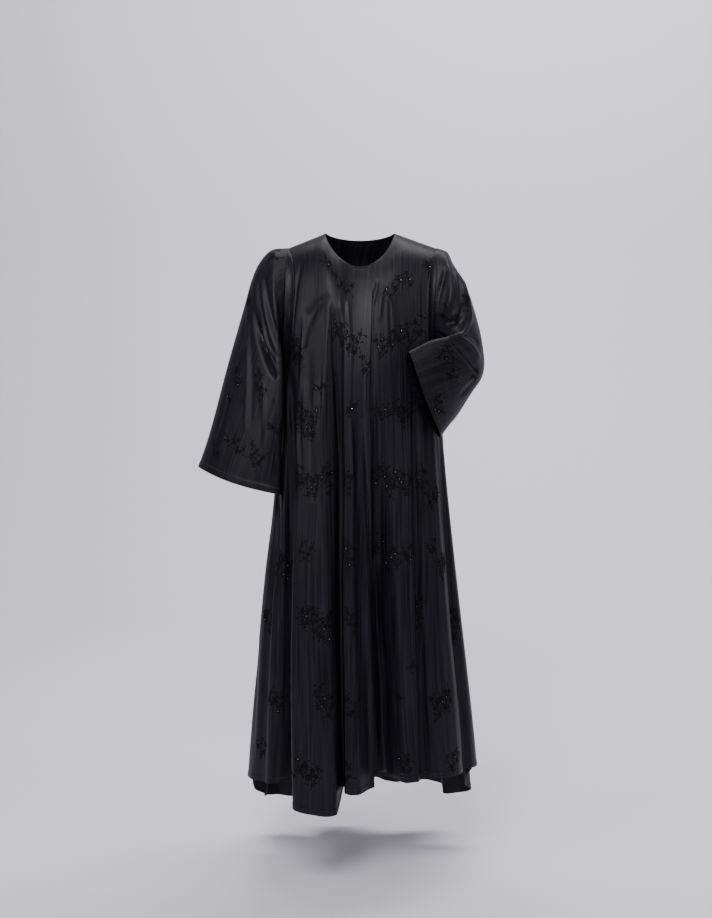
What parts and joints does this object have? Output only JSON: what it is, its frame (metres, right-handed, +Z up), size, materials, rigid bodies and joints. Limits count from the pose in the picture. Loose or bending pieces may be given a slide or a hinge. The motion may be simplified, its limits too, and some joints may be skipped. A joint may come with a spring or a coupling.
{
  "type": "abaya cloak",
  "caption": "Full-length open-front abaya of floral jacquard satin, worn and hollow, fronts lapped at the centre, wide set-in sleeves, one hanging and one bent across the waist",
  "frame": {"origin": "Middle of the neck opening, level with the neck ends of the shoulder seams, where the wearer's shoulders hold the cloak up.", "axes": "+Z up, the front faces -Y, +X is the wearer's left."},
  "size_m": [0.6795, 0.5059, 1.4221],
  "materials": {
    "satin": "soft black satin with a fine vertical slub",
    "motif": "matt black woven flower sprays",
    "bead": "small dark faceted beads at some flower centres",
    "thread": "black stitching along hems and edges"
  },
  "bodies": {
    "root": {"front_right": "satin", "front_left": "satin", "back": "satin", "sleeve_right": "satin", "sleeve_left": "satin"}
  },
  "joints": []
}
